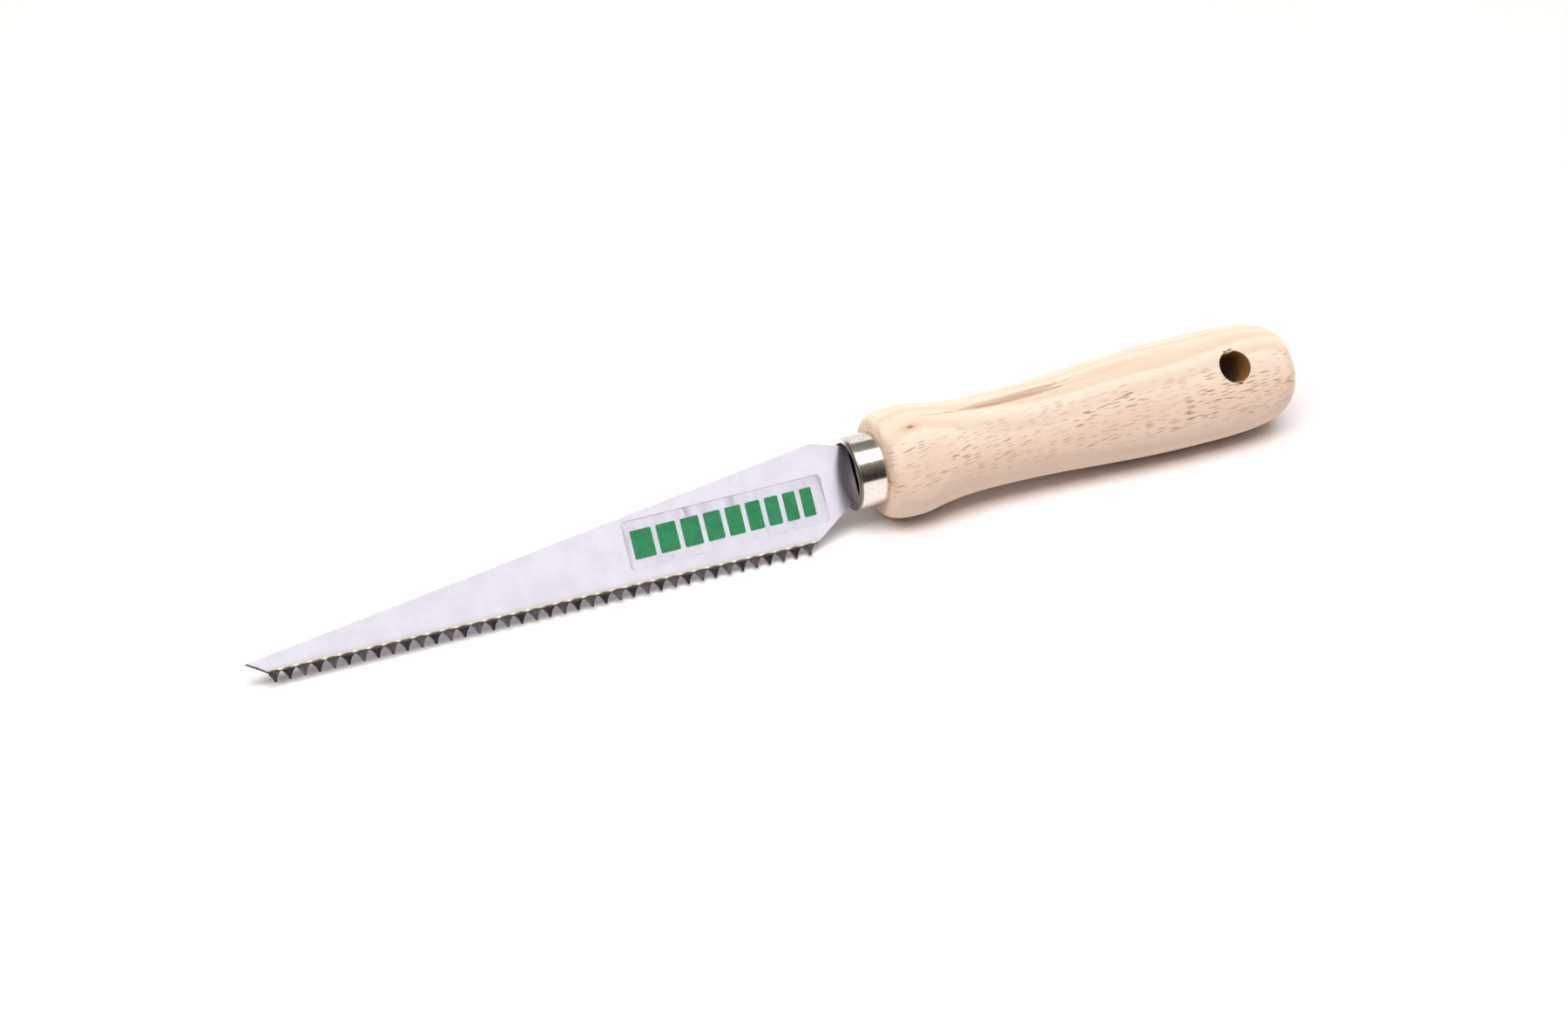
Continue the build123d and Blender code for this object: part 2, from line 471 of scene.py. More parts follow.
class Effects:
    """Node groups that more than one finish uses."""

    def __init__(self) -> None:
        """Builds each effect once."""
        self.scratches = self.make_scratches()
        self.mottle = self.make_mottle()

    @staticmethod
    def make_scratches() -> bpy.types.NodeTree:
        """Fine parallel lines along X, as left by grinding or sanding."""
        inputs = (("Position", "Vector", None), ("Length", "Float", 20.0), ("Width", "Float", 0.08))
        recipe, given, result = new_effect("parallel_scratches", inputs, ("Height", "Float"))
        x, y, z = recipe.axes(given.outputs["Position"])
        length, width = given.outputs["Length"], given.outputs["Width"]
        recipe.plug(result, recipe.noise(recipe.vector(x / length, y / width, z / width), (1, 1, 1), 3.0, 0.6))
        return recipe.tree

    @staticmethod
    def make_mottle() -> bpy.types.NodeTree:
        """Cloudy variation between two colours, with a grain size in millimetres."""
        inputs = (
            ("Position", "Vector", None),
            ("Grain", "Float", 1.0),
            ("Light", "Color", (1, 1, 1, 1)),
            ("Dark", "Color", (0.5, 0.5, 0.5, 1)),
        )
        recipe, given, result = new_effect("mottle", inputs, ("Color", "Color"))
        size = recipe.math("DIVIDE", 1.0, given.outputs["Grain"])
        values = {"Vector": given.outputs["Position"], "Scale": size, "Detail": 3.0, "Roughness": 0.6}
        cloud = recipe.add("TexNoise", values).outputs[0]
        mask = recipe.step(cloud, 0.35, 0.65)
        recipe.plug(result, recipe.mix(mask, given.outputs["Dark"], given.outputs["Light"]))
        return recipe.tree


class Coat(Recipe):
    """A material in the making, with its shader."""

    def __init__(self, name: str, uniform: dict) -> None:
        """Starts a new material.

        Args:
            name: Its name.
            uniform: What is the same all over the surface, by the shader's input names.
        """
        self.material = bpy.data.materials.new(name)
        self.material.use_nodes = True
        self.material.node_tree.nodes.clear()
        super().__init__(self.material.node_tree)
        self.shader = self.add("BsdfPrincipled", uniform)
        self.add("OutputMaterial", {"Surface": self.shader.outputs[0]})

    def settle(self, **varying: object) -> Material:
        """Wires what varies over the surface, each by its input's name, and gives the material."""
        for name, value in varying.items():
            self.plug(self.shader.inputs[name.replace("_", " ")], value)
        return self.material


class SawCoat(Coat):
    """A coat that reads its place on the bench axes, in millimetres."""

    def __init__(self, name: str, pose: RestPose, effects: Effects, **uniform: float) -> None:
        """Starts a new material on the saw, with what is the same all over it."""
        super().__init__(name, {key.replace("_", " "): value for key, value in uniform.items()})
        self.effects = effects
        back = pose.turn.transposed()
        inputs = {
            "Vector": self.add("TexCoord").outputs["Object"],
            "Location": -(back @ pose.origin) / MM,
            "Rotation": back.to_euler("XYZ"),
            "Scale": (1 / MM,) * 3,
        }
        self.position = self.add("Mapping", inputs, vector_type="POINT").outputs[0]
        self.x, self.y, self.z = self.axes(self.position)

    def mottle(self, grain: float, light: Colour, dark: Colour) -> Socket:
        """Clouds between two colours."""
        values = {"Position": self.position, "Grain": grain, "Light": light, "Dark": dark}
        return self.add("Group", values, node_tree=self.effects.mottle).outputs[0]

    def scratches(self, length: float, width: float, position: Socket | None = None) -> Number:
        """Height of fine lines along X, or along the X of another position."""
        values = {"Position": position or self.position, "Length": length, "Width": width}
        return Number(self, self.add("Group", values, node_tree=self.effects.scratches).outputs[0])

    def clouds(self, grain: Sequence[float], detail: float = 2.0, roughness: float = 0.5) -> Number:
        """Noise on the bench axes."""
        return self.noise(self.position, grain, detail, roughness)

    def radial(self) -> Number:
        """Distance from the saw's axis."""
        return self.hypot(self.y, self.z)

    def arc(self, degrees: float, radius: float) -> Number:
        """Distance round the axis from an angle, which counts from the labelled side to the spine."""
        return (self.math("ARCTAN2", self.y, self.z) - math.radians(degrees)) * radius

    def along(self, degrees: float) -> Number:
        """Distance along a direction tilted from Z towards Y."""
        turn = math.radians(degrees)
        return self.z * math.cos(turn) + self.y * math.sin(turn)

    def across(self, degrees: float) -> Number:
        """Distance across a direction tilted from Z towards Y."""
        turn = math.radians(degrees)
        return self.y * math.cos(turn) - self.z * math.sin(turn)

    def bump(self, height: Number, strength: float, depth: float) -> Socket:
        """Normals of a relief, its depth in millimetres."""
        inputs = {"Height": height, "Strength": strength, "Distance": depth * MM}
        return self.add("Bump", inputs).outputs[0]


@dataclass(frozen=True)
class Lens:
    """A lens-shaped streak where a growth ring comes to the surface.

    Its place is given along the axis and by the angle from the labelled side towards the spine.
    """

    x: float
    angle: float
    length: float
    width: float
    slope: float
    depth: float


@dataclass(frozen=True)
class BeechFinish:
    """Bare, sanded beech: pale, with short ray flecks and a few streaks."""

    name: str = "sanded_beech"
    # Cream for the upper side: the wood's tone, made paler as painted light where the top is lit.
    cream: Colour = (0.80, 0.735, 0.645)
    pink: Colour = (0.815, 0.635, 0.52)
    peach: Colour = (0.79, 0.65, 0.535)
    # Painted fill light for the handle's lower side.
    pale: Colour = (0.90, 0.735, 0.63)
    ring: Colour = (0.66, 0.44, 0.30)
    fleck: Colour = (0.33, 0.155, 0.055)
    streak: Colour = (0.47, 0.27, 0.17)
    knot_halo: Colour = (0.62, 0.33, 0.14)
    knot_heart: Colour = (0.34, 0.13, 0.05)
    end_grain: Colour = (0.55, 0.345, 0.20)
    # Painted shade and painted light for the spigot's end in the ferrule's mouth.
    painted_mouth_shade: Colour = (0.10, 0.075, 0.055)
    clean: Colour = (0.86, 0.80, 0.72)
    # Drill burn on the bore's wall, deepened as painted shade.
    burnt_and_painted_shade: Colour = (0.27, 0.125, 0.035)
    heart_angle: float = -10.0
    ring_spacing: float = 3.4
    cell: tuple[float, float, float] = (3.9, 0.36, 7.0)
    cell_layers: tuple[tuple[float, ...], ...] = ((1.0, 0.62, 0.0, 0.42), (1.45, 0.42, 31.0, 0.34))
    streak_radius: float = 12.4
    knot_place: tuple[float, float, float] = (15.4, 33.0, 14.4)
    knot_half: Point = (1.3, 0.55)
    grip_edge: Point = (14.45, 13.6)
    lenses: tuple[Lens, ...] = (
        Lens(30.0, 46.0, 24.0, 0.7, 0.01, 0.6),
        Lens(44.5, 48.0, 31.0, 3.3, 0.03, 0.5),
        Lens(47.0, 44.5, 29.0, 1.5, -0.01, 0.75),
        Lens(51.0, 50.5, 27.0, 1.2, 0.02, 0.6),
        Lens(68.0, 48.0, 34.0, 2.6, 0.05, 0.16),
    )

    def make(self, pose: RestPose, effects: Effects, hole: "HangingHole") -> Material:
        """Builds the material.

        Args:
            pose: The rest pose, to read places on the bench axes.
            effects: The shared effects.
            hole: The hanging hole, whose wall is darker.

        Returns:
            The material.
        """
        coat = SawCoat(self.name, pose, effects, Specular_IOR_Level=0.35, Diffuse_Roughness=0.8)
        x, y = coat.x, coat.y
        fleck, rings = self.flecks(coat), self.rings(coat)
        fibre = coat.scratches(9.0, 0.16)
        clouds = coat.clouds((55.0, 7.0, 7.0))
        colour = coat.layers(
            self.pink,
            # Cream towards the spine: the wood's tone, made paler as painted light for the lit top.
            (coat.step(y + clouds * 7.0, -2.5, 9.5), self.cream),
            (coat.step(y, 7.5, 11.5, 0.0, 0.75), self.peach),
            # Painted light: the lower side is painted paler, standing in for fill light from below.
            (coat.step(y, -4.5, -11.0), self.pale),
            (rings * coat.step(y, -4.0, 8.0, 0.14, 0.36), self.ring),
            (coat.step(fibre, 0.35, 0.7, 0.0, 0.16), self.ring),
            *((self.lens_mask(coat, lens, fibre), self.streak) for lens in self.lenses),
            (fleck * 0.85, self.fleck),
            *self.knot(coat),
            (coat.step(x + clouds * 3.0, 10.6, 8.3, 0.0, 0.55), self.end_grain),
            # The spigot's end, in the ferrule's mouth, is painted dark towards the spine as painted shade and
            # painted pale below as painted light.
            (coat.step(x, 4.0, 3.0), coat.mix(coat.step(y, 5.5, -4.5), self.painted_mouth_shade, self.clean)),
            # The bore's wall: drill burn, darkened further as painted shade inside the hole.
            (self.bore_mask(coat, hole), self.burnt_and_painted_shade),
        )
        return coat.settle(
            Base_Color=colour,
            Roughness=coat.step(fibre, 0.3, 0.7, 0.48, 0.62),
            Normal=coat.bump(fibre - fleck * 1.2 - rings * 0.2, 0.35, 0.06),
        )

    def flecks(self, coat: SawCoat) -> Number:
        """Spindle-shaped ends of the wood's rays, thin along the surface and deep towards the heart."""
        x, deep = coat.x, coat.along(self.heart_angle)
        # The fibres run a little uphill near the front and straighten towards the butt.
        lifted = coat.across(self.heart_angle) - x * (0.16 - x * 0.0008)
        long, wide, thick = self.cell
        masks = []
        for scale, share, shift, reach in self.cell_layers:
            place = coat.vector(x / (long * scale) + shift, lifted / (wide * scale), deep / thick)
            cells = coat.add("TexVoronoi", {"Vector": place, "Scale": 1.0, "Randomness": 1.0}, feature="F1")
            body = coat.step(cells.outputs["Distance"], reach, reach * 0.5)
            masks.append(body * coat.math("LESS_THAN", coat.axes(cells.outputs["Color"])[0], share))
        patch = coat.step(coat.noise(coat.vector(x, lifted, deep), (16.0, 3.0, 9.0)), 0.40, 0.62, 0.40, 1.0)
        # They show best where the saw's side is cut along the rings.
        seen = coat.step(abs(deep) / coat.radial(), 0.78, 0.95, 0.10, 1.0)
        return coat.math("MULTIPLY", coat.math("MAXIMUM", *masks) * patch, seen, clamp=True)

    def rings(self, coat: SawCoat) -> Number:
        """Soft growth-ring lines."""
        side = coat.across(self.heart_angle)
        radius = coat.along(self.heart_angle) + side * side * 0.006
        wander = coat.clouds((70.0, 14.0, 14.0), 1.0)
        share = coat.math("FRACT", (radius + wander * 9.0) / self.ring_spacing + 50.0)
        return coat.step(share, 0.10, 0.80) * coat.step(share, 1.0, 0.84)

    def lens_mask(self, coat: SawCoat, lens: Lens, fibre: Number) -> Number:
        """How strongly a streak colours the surface."""
        run = coat.x - lens.x
        arc = coat.arc(lens.angle, self.streak_radius) - run * lens.slope
        along = run / (lens.length / 2)
        # The half width shrinks to nothing at both ends.
        room = coat.math("SUBTRACT", 1.0, along * along, clamp=True)
        edge = coat.step(abs(arc / (lens.width / 2)) / (room + 0.02), 1.15, 0.7)
        faded = edge * coat.step(room, 0.0, 0.35) * coat.step(fibre, 0.34, 0.60, 0.35, 1.0)
        return coat.math("MULTIPLY", faded, lens.depth, clamp=True)

    def knot(self, coat: SawCoat) -> tuple[tuple[Number, Colour], ...]:
        """The two layers of a small orange-brown pin knot near the front: its halo and its heart."""
        x, degrees, radius = self.knot_place
        half_x, half_arc = self.knot_half
        far = coat.hypot((coat.x - x) / half_x, coat.arc(degrees, radius) / half_arc)
        return (
            (coat.step(far, 3.0, 0.8, 0.0, 0.38), self.knot_halo),
            (coat.step(far, 1.0, 0.35, 0.0, 0.8), self.knot_heart),
        )

    def bore_mask(self, coat: SawCoat, hole: "HangingHole") -> Number:
        """One on the wall of the hanging hole and nothing outside it."""
        far = coat.hypot(coat.x - hole.x, coat.across(hole.tilt))
        near = coat.step(far, hole.radius + 0.10, hole.radius + 0.02)
        return near * coat.step(coat.radial(), *self.grip_edge, 0.35, 1.0)


@dataclass(frozen=True)
class NickelFinish:
    """Bright nickel plate with a fine speckle."""

    name: str = "bright_nickel_plate"
    light: Colour = (0.84, 0.81, 0.775)
    dark: Colour = (0.75, 0.71, 0.66)
    # Painted shade for the curled front edge, with its streaks.
    lip_shade: Colour = (0.13, 0.12, 0.105)
    lip_shade_streak: Colour = (0.286, 0.264, 0.231)

    def make(self, pose: RestPose, effects: Effects, ferrule: "Ferrule") -> Material:
        """Builds the material.

        Args:
            pose: The rest pose, to read places on the bench axes.
            effects: The shared effects.
            ferrule: The ferrule, whose curled front edge is painted dark as painted shade.

        Returns:
            The material.
        """
        coat = SawCoat(self.name, pose, effects, Metallic=1.0)
        speckle = coat.clouds((0.28,) * 3, 3.0, 0.7)
        radial, rim, curl = coat.radial(), ferrule.outer_radius, ferrule.curl[0]
        # The curl is painted dark with streaks, as painted shade, but for the part next to the spine.
        inwards = coat.step(radial, rim - 0.02, rim - 0.06)
        lip = coat.step(coat.x, curl * 0.85, curl * 0.70) * inwards * coat.step(coat.y / radial, 0.93, 0.80)
        streaks = coat.step(coat.noise(coat.vector(radial), (0.2, 1.0, 1.0)), 0.35, 0.65)
        lip_shade_tone = coat.mix(streaks, self.lip_shade, self.lip_shade_streak)
        return coat.settle(
            Base_Color=coat.mix(lip, coat.mottle(0.9, self.light, self.dark), lip_shade_tone),
            Roughness=coat.step(speckle, 0.35, 0.7, 0.09, 0.24) + lip * 0.22,
            Normal=coat.bump(speckle + coat.scratches(5.0, 0.12) * 0.25, 0.30, 0.012),
        )


@dataclass(frozen=True)
class BladeFinish:
    """Ground steel with a straw band above dark, hardened teeth, and sheared edges."""

    name: str = "ground_blade_steel"
    light: Colour = (0.69, 0.68, 0.775)
    dark: Colour = (0.64, 0.63, 0.72)
    dull: Colour = (0.66, 0.62, 0.68)
    straw: Colour = (0.53, 0.485, 0.385)
    # Painted highlight at the gullets' tops.
    painted_gullet_glint: Colour = (0.95, 0.90, 0.80)
    scorched: Colour = (0.07, 0.045, 0.03)
    tooth: Colour = (0.080, 0.082, 0.10)
    burr: Colour = (0.04, 0.034, 0.036)
    # Painted shade where the blade goes into the wood.
    painted_mouth_shadow: Colour = (0.01, 0.008, 0.006)
    sheared: Colour = (0.20, 0.185, 0.18)

    def make(self, pose: RestPose, effects: Effects, blade: "Blade") -> Material:
        """Builds the material.

        Args:
            pose: The rest pose, to read places on the bench axes.
            effects: The shared effects.
            blade: The blade, whose tooth line places the bands.

        Returns:
            The material.
        """
        coat = SawCoat(self.name, pose, effects, Metallic=1.0, Anisotropic=1.0)
        x, y = coat.x, coat.y
        above = y - (blade.root_y(0.0) - x * blade.tooth_slope)
        grind = coat.scratches(26.0, 0.10)
        cross = coat.clouds((1.1, 3.5, 3.5), 3.0, 0.6)
        ragged = above + cross * 0.5
        # 1 at the middle of each tooth and -1 at the middle of each gullet.
        wave = coat.math("COSINE", (x - blade.heel_tooth_x) * (2 * math.pi / blade.pitch))
        tooth = coat.step(above, 0.10, -0.12)
        run, rise = blade.tip_cut_end_x - blade.point[0], blade.root_y(blade.tip_cut_end_x) - blade.point[1]
        size = math.hypot(run, rise)
        snip = (x - blade.point[0]) * (-rise / size) + (y - blade.point[1]) * (run / size)
        colour = coat.layers(
            coat.mottle(7.0, self.light, self.dark),
            (coat.step(cross, 0.40, 0.62, 0.0, 0.10), self.dull),
            (coat.step(ragged, 2.2, 0.6, 0.0, 0.8), self.straw),
            # Painted highlight: a bright glint painted at each gullet's top, near the root line.
            (coat.step(wave, -0.5, -0.9) * coat.step(above, 1.0, 0.5) * 0.8, self.painted_gullet_glint),
            (coat.step(ragged - wave * 0.11, 0.86, 0.58, 0.0, 0.95), self.scorched),
            (tooth, coat.mix(coat.step(cross, 0.38, 0.62, 0.0, 0.7), self.tooth, self.burr)),
            # The snipped end is dark and burred.
            (coat.step(snip + cross * 0.5, 0.85, 0.60) * 0.9, self.burr),
            # Painted shade: the blade is painted almost black where it goes into the wood, inside the
            # ferrule's mouth.
            (coat.step(x, 1.5, 2.0), self.painted_mouth_shadow),
            (coat.step(self.facing(coat, pose), 0.75, 0.45) * 0.85, self.sheared),
        )
        return coat.settle(
            Base_Color=colour,
            Roughness=coat.step(grind, 0.30, 0.70, 0.38, 0.45) - tooth * 0.16,
            Normal=coat.bump(grind + cross * 0.15, 0.12, 0.01),
            Tangent=coat.add("Tangent", direction_type="UV_MAP", uv_map=Blade.UV_NAME).outputs[0],
        )

    @staticmethod
    def facing(coat: SawCoat, pose: RestPose) -> Number:
        """How squarely a face looks along the blade's normal, on either side."""
        inputs = {0: coat.add("NewGeometry").outputs["True Normal"], 1: pose.turn @ Vector((0, 0, 1))}
        dot = coat.add("VectorMath", inputs, operation="DOT_PRODUCT").outputs["Value"]
        return coat.math("ABSOLUTE", dot)


@dataclass(frozen=True)
class FilmFinish:
    """Clear label film, with a greyish glue line round its border."""

    name: str = "clear_label_film"
    tint: Colour = (0.86, 0.83, 0.88)
    dusty: Colour = (0.80, 0.77, 0.83)
    glue: Colour = (0.30, 0.26, 0.24)

    def make(self, pose: RestPose, effects: Effects, label: "Label") -> Material:
        """Builds the material."""
        coat = SawCoat(self.name, pose, effects, Roughness=0.32)
        x, y, front, top = coat.x, coat.y, label.front_x, label.top_y
        from_x = (label.rear_x - front) / 2 - abs(x - (front + label.rear_x) / 2)
        from_y = (top - label.bottom_y) / 2 - abs(y - (top + label.bottom_y) / 2)
        patches = coat.clouds((7.0, 5.0, 5.0), 3.0, 0.6)
        border = coat.step(coat.math("MINIMUM", from_x, from_y), 0.16, 0.07)
        rim = border * coat.step(patches, 0.38, 0.60, 0.25, 1.0)
        # Dirt clings to the front and the upper border, hardly to the others.
        near_top = coat.step(y, top - 0.5, top - 0.3)
        clings = coat.math("MAXIMUM", coat.step(x, front + 0.5, front + 0.3), near_top)
        rim = rim * coat.step(clings, 0.0, 1.0, 0.12, 1.0)
        return coat.settle(
            Base_Color=coat.mix(rim, coat.mottle(2.2, self.tint, self.dusty), self.glue),
            Alpha=rim * 0.6 + 0.07,
            Normal=coat.bump(coat.clouds((6.0, 4.0, 4.0)), 0.25, 0.05),
        )


@dataclass(frozen=True)
class PrintFinish:
    """Green screen-printing ink."""

    name: str = "green_ink"
    light: Colour = (0.022, 0.235, 0.098)
    dark: Colour = (0.016, 0.19, 0.078)

    def make(self, pose: RestPose, effects: Effects) -> Material:
        """Builds the material."""
        coat = SawCoat(self.name, pose, effects)
        grain = coat.clouds((0.25,) * 3)
        return coat.settle(
            Base_Color=coat.mottle(1.6, self.light, self.dark),
            Roughness=coat.step(grain, 0.35, 0.65, 0.34, 0.46),
            Normal=coat.bump(grain, 0.2, 0.006),
        )


@dataclass(frozen=True)
class PinFinish:
    """Drawn steel wire."""

    name: str = "drawn_pin_steel"
    light: Colour = (0.56, 0.55, 0.55)
    dark: Colour = (0.40, 0.39, 0.38)

    def make(self, pose: RestPose, effects: Effects) -> Material:
        """Builds the material."""
        coat = SawCoat(self.name, pose, effects, Metallic=1.0)
        drawn = coat.scratches(6.0, 0.09, coat.vector(coat.z, coat.y, coat.x))
        return coat.settle(
            Base_Color=coat.mottle(0.8, self.light, self.dark),
            Roughness=coat.step(drawn, 0.3, 0.7, 0.3, 0.45),
            Normal=coat.bump(drawn, 0.2, 0.01),
        )


# ---------------------------------------------------------------------------------------- pieces
def hand_over(piece: Piece, material: Material, pose: RestPose, slot: Slot, *nodes: str) -> None:
    """Dresses a finished piece, lays it down, fixes it to the saw and hides the CAD nodes it stands for.

    Args:
        piece: The piece, on the bench axes.
        material: Its finish.
        pose: The rest pose.
        slot: Not used.
        nodes: The CAD nodes it replaces.
    """
    piece.data.materials.append(material)
    pose.lay_down(piece)
    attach(piece, BODY)
    if nodes:
        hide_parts(*nodes)
    size = [round(side / MM, 2) for side in piece.dimensions]
    log.info("%s: %d faces, %s mm", piece.name, len(piece.data.polygons), size)


@dataclass(frozen=True)
class Sliver:
    """Torn fibre across the hole's rim: above (1) or below (-1) the bore, its place, length and gap."""

    way: int
    shift: float
    length: float
    gap: float


@dataclass(frozen=True)
class HangingHole:
    """The hole through the butt, with torn fibres at its rim."""

    x: float = 106.5
    radius: float = 4.45
    tilt: float = 12.7
    sides: int = 112
    slivers: tuple[Sliver, ...] = (
        Sliver(1, 0.35, 1.75, 0.62),
        Sliver(1, -1.2, 1.3, 0.34),
        Sliver(-1, 0.3, 1.5, 0.46),
    )

    def cutter(self, reach: float) -> Piece:
        """The bore."""
        return Bench.rod("bore_cutter", self.x, self.radius, 4 * reach, self.sides, -self.tilt)

    def splinter(self, sliver: Sliver, side: int, rise: float, half: Sequence[float], grip: float) -> Piece:
        """A flattened egg at the bore's rim.

        Args:
            sliver: The sliver whose place it takes.
            side: 1 on the labelled side of the grip and -1 on the other.
            rise: Its distance from the bore's middle across the axis.
            half: Its half sizes along the axis, across it and along the bore.
            grip: Radius of the grip at the bore.

        Returns:
            The egg.
        """
        turn = math.radians(self.tilt)
        axis = Vector((0, math.sin(turn), math.cos(turn)))
        across = Vector((0, axis.z, -axis.y))
        depth = math.sqrt(grip**2 - (rise * sliver.way * axis.z) ** 2)
        place = Vector((self.x + sliver.shift, 0, 0)) + across * (sliver.way * rise) + axis * (side * depth)
        Bench.pick()
        bpy.ops.mesh.primitive_uv_sphere_add(segments=24, ring_count=14, radius=1.0, location=place * MM)
        bpy.context.object.scale = [h * MM for h in half]
        bpy.context.object.rotation_euler = (-turn, 0, 0.14 * sliver.way)
        return Bench.named("splinter")

    def fray(self, handle: Piece, grip: float) -> None:
        """Leaves slivers of torn fibre across the rim, with gaps behind them, on both sides of the grip."""
        for side in (1, -1):
            for sliver in self.slivers:
                half, rise = (sliver.length, sliver.gap * 0.42, 0.9), self.radius - sliver.gap * 0.35
                Bench.cut(handle, self.splinter(sliver, side, rise, half, grip - 0.75), "UNION")
            for sliver in self.slivers:
                half, rise = (sliver.length * 0.5, sliver.gap * 0.5, 1.1), self.radius + sliver.gap * 0.35
                Bench.cut(handle, self.splinter(sliver, side, rise, half, grip))


@dataclass
class Handle:
    """The turned beech handle with its spigot, tang slot and hanging hole."""

    spigot_front_x: float = 2.6
    spigot_radius: float = 8.7
    spigot_chamfer: float = 0.5
    shoulder_x: float = 8.0
    shoulder_flat_radius: float = 11.3
    shoulder_roll: Point = (3.2, 0.8)
    front_crest: Point = (16.5, 14.45)
    waist: Point = (38.7, 12.25)
    rear_crest: Point = (97.8, 14.65)
    butt_x: float = 127.6
    butt_dome_radius: float = 13.2
    reaches: tuple[float, ...] = (5.0, 14.8, 23.5, 24.4, 24.5)
    steps: tuple[int, ...] = (10, 20, 34, 30)
    sides: int = 144
    kerf_front_x: float = 1.6
    kerf_half: Point = (7.75, 0.6)
    kerf_stations: tuple[Point, ...] = ((7.05, 7.75), (15.05, 4.55), (47.5, 4.55))
    pin_x: float = 5.3
    pin_hole_radius: float = 1.23
    hole: HangingHole = field(default_factory=HangingHole)

    def profile(self) -> list[Point]:
        """Stations along the axis from the spigot's end to the butt."""
        (crest_x, crest_r), (waist_x, waist_r) = self.front_crest, self.waist
        rear_x, rear_r = self.rear_crest
        out, into, out_rear, into_rear, dome = self.reaches
        length, drop = self.shoulder_roll
        points = [
            (self.spigot_front_x, self.spigot_radius - self.spigot_chamfer),
            (self.spigot_front_x + self.spigot_chamfer, self.spigot_radius),
            (self.shoulder_x, self.spigot_radius),
            (self.shoulder_x, self.shoulder_flat_radius),
        ]
        spans = (
            ((self.shoulder_x, crest_r - drop), (self.shoulder_x + length, crest_r), self.front_crest),
            ((crest_x + out, crest_r), (waist_x - into, waist_r), self.waist),
            ((waist_x + out_rear, waist_r), (rear_x - into_rear, rear_r), self.rear_crest),
            ((rear_x + dome, rear_r), (self.butt_x, self.butt_dome_radius), (self.butt_x, 0)),
        )
        for span, steps in zip(spans, self.steps):
            points += bezier(points[-1], *span, steps)
        return points[:-1]

    def blank(self) -> Piece:
        """The turned blank, closed at both ends."""
        handle = Bench.turned("beech_handle", self.profile(), self.sides)
        bpy.ops.mesh.edge_face_add()
        bpy.ops.mesh.poke()
        assert Bench.select(handle, "VERT", lambda v: v.is_boundary) == self.sides
        bpy.ops.mesh.edge_face_add()
        Bench.clean(handle)
        return handle

    def kerf(self) -> Piece:
        """Cutter for the tang's slot."""
        (x, width), *others = self.kerf_stations
        half_width, half = self.kerf_half
        cutter = Bench.block("kerf_cutter", (self.kerf_front_x, -half_width, -half), (x, half_width, half))
        Bench.mode("EDIT")
        Bench.select(cutter, "FACE", lambda f: f.normal.x > 0.9)
        for next_x, next_width in others:
            Bench.draw_out((next_x - x, 0, 0), (1, next_width / width, 1))
            x, width = next_x, next_width
        Bench.clean(cutter)
        return cutter

    def build(self, pose: RestPose, effects: Effects, finish: BeechFinish) -> None:
        """Turns, slots, bores and dresses the handle."""
        handle = self.blank()
        Bench.cut(handle, self.kerf())
        Bench.cut(handle, Bench.rod("pin_cutter", self.pin_x, self.pin_hole_radius, 40.0, 32))
        Bench.cut(handle, self.hole.cutter(self.rear_crest[1]))
        self.hole.fray(handle, self.rear_crest[1])
        Bench.clean(handle, 0.001)
        Bench.smooth(handle, 32.0)
        hand_over(handle, finish.make(pose, effects, self.hole), pose, Slot.BEECH, "handle")


@dataclass
class Ferrule:
    """A plated tube with its front edge curled inwards."""

    outer_radius: float = 9.6
    wall: float = 0.85
    length: float = 8.0
    bead: float = 0.70
    bead_steps: int = 6
    curl: Point = (1.15, 0.62)
    lip_round: float = 0.22
    sides: int = 160
    rear_ease: float = 0.12

    def profile(self) -> list[Point]:
        """Stations from the rear edge forwards over the bead and back along the inside."""
        outer, ease, lip_round = self.outer_radius, self.rear_ease, self.lip_round
        inner, lip = outer - self.wall, outer - 2 * self.bead
        points = [
            (self.length, inner + ease),
            (self.length, outer - ease),
            (self.length - ease, outer),
            (self.length * 0.55, outer),
        ]
        # The curled edge: a long outer curve, a narrow face and a round inner corner.
        for corner, reach, first in (
            ((self.curl[0], outer - self.curl[1]), self.curl, 90),
            ((lip_round, lip + lip_round), (lip_round, lip_round), 180),
        ):
            for step in range(self.bead_steps + 1):
                angle = math.radians(first + 90 * step / self.bead_steps)
                points.append((corner[0] + reach[0] * math.cos(angle), corner[1] + reach[1] * math.sin(angle)))
        inside = ((self.bead, lip), (self.bead * 1.9, inner), (self.length * 0.6, inner))
        return [*points, *inside, (self.length - ease, inner)]

    def build(self, pose: RestPose, effects: Effects, finish: NickelFinish) -> None:
        """Draws, closes and dresses the ferrule."""
        ferrule = Bench.turned("plated_ferrule", self.profile(), self.sides)
        Bench.select(ferrule, "EDGE", lambda e: e.is_boundary)
        bpy.ops.mesh.bridge_edge_loops()
        Bench.clean(ferrule)
        Bench.smooth(ferrule)
        hand_over(ferrule, finish.make(pose, effects, self), pose, Slot.NICKEL, "ferrule")


